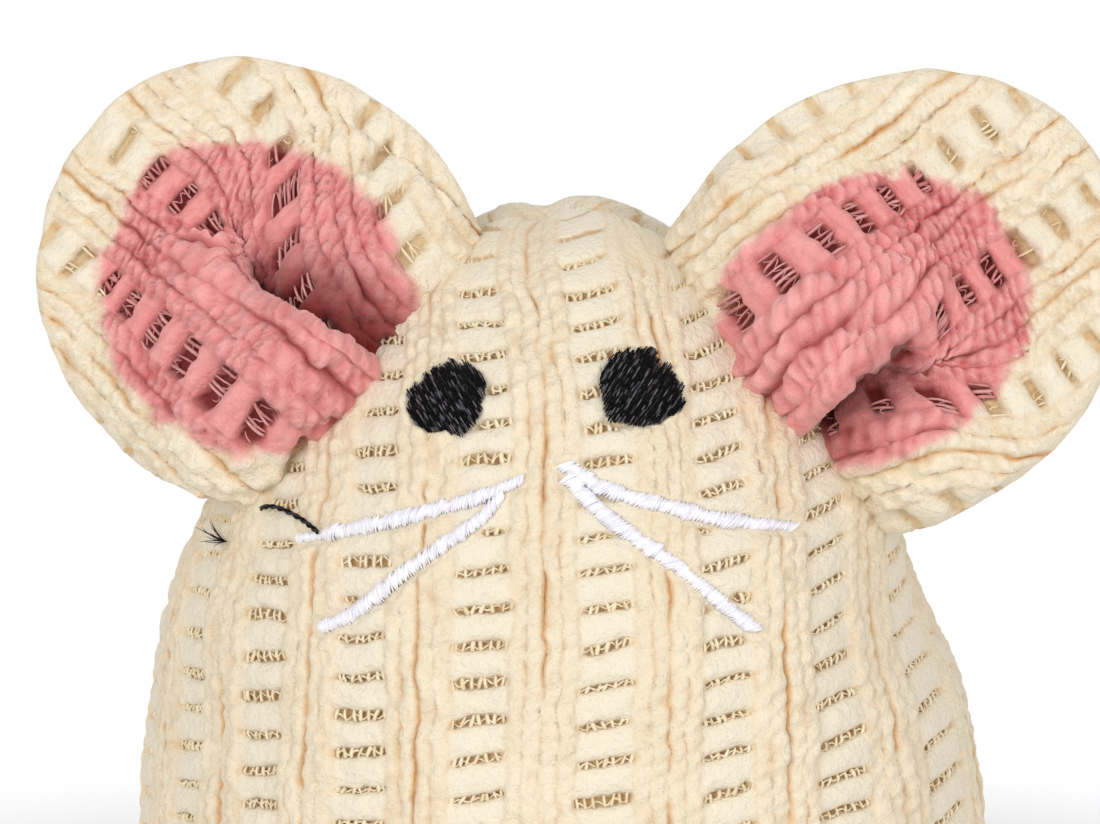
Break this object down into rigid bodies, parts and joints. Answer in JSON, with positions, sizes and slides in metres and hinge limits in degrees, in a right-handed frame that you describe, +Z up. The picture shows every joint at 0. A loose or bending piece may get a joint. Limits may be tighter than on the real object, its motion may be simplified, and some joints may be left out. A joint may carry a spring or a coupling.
{
  "type": "catnip mouse",
  "caption": "Upright stuffed mouse of ribbed cream knit, with round tucked ears, a stitched face, a short tail and a sachet of dried leaves inside, for a cat to bat and chew.",
  "frame": {"origin": "centre of the flat base panel, on the surface the toy sits on", "axes": "+Z up, the face looks along -Y, +X to the right of someone looking at the face"},
  "size_m": [0.1085, 0.1323, 0.1101],
  "materials": {
    "cream_knit": "soft chenille rib knit",
    "rose_knit": "the same knit dyed rose in the middle",
    "black_thread": "satin stitch thread",
    "white_thread": "satin stitch thread",
    "fibre": "loose polyester fibre",
    "muslin": "plain weave",
    "dried_leaf": "crumbled dry leaves"
  },
  "bodies": {
    "body": {"front_panel": "cream_knit", "back_panel": "cream_knit", "base_panel": "cream_knit", "front_stuffing": "fibre", "back_stuffing": "fibre", "sachet_front": "muslin", "sachet_back": "muslin", "dried_catnip": "dried_leaf", "embroidery_backing": "fibre", "left_eye": "black_thread", "right_eye": "black_thread", "left_upper_whisker": "white_thread", "left_lower_whisker": "white_thread", "right_upper_whisker": "white_thread", "right_lower_whisker": "white_thread", "loose_thread": "black_thread", "closing_stitch": "white_thread"},
    "left_ear": {"left_ear_front": "rose_knit", "left_ear_back": "cream_knit"},
    "right_ear": {"right_ear_front": "rose_knit", "right_ear_back": "cream_knit"},
    "tail": {"tail": "cream_knit"}
  },
  "joints": [
    {"name": "left_ear_fold", "type": "hinge", "parent": "body", "child": "left_ear", "pos_m": [-0.02171, -0.01345, 0.07978], "axis": [0.6347, 0.164, 0.7551], "range_deg": [-30, 12], "stiffness_Nm_per_rad": 0.004},
    {"name": "right_ear_fold", "type": "hinge", "parent": "body", "child": "right_ear", "pos_m": [0.02351, -0.01345, 0.07978], "axis": [0.6347, -0.164, -0.7551], "range_deg": [-30, 12], "stiffness_Nm_per_rad": 0.004},
    {"name": "tail_swing", "type": "hinge", "parent": "body", "child": "tail", "pos_m": [0, 0.03445, 0.0062], "axis": [0, 0, 1], "range_deg": [-30, 30], "stiffness_Nm_per_rad": 0.002}
  ]
}
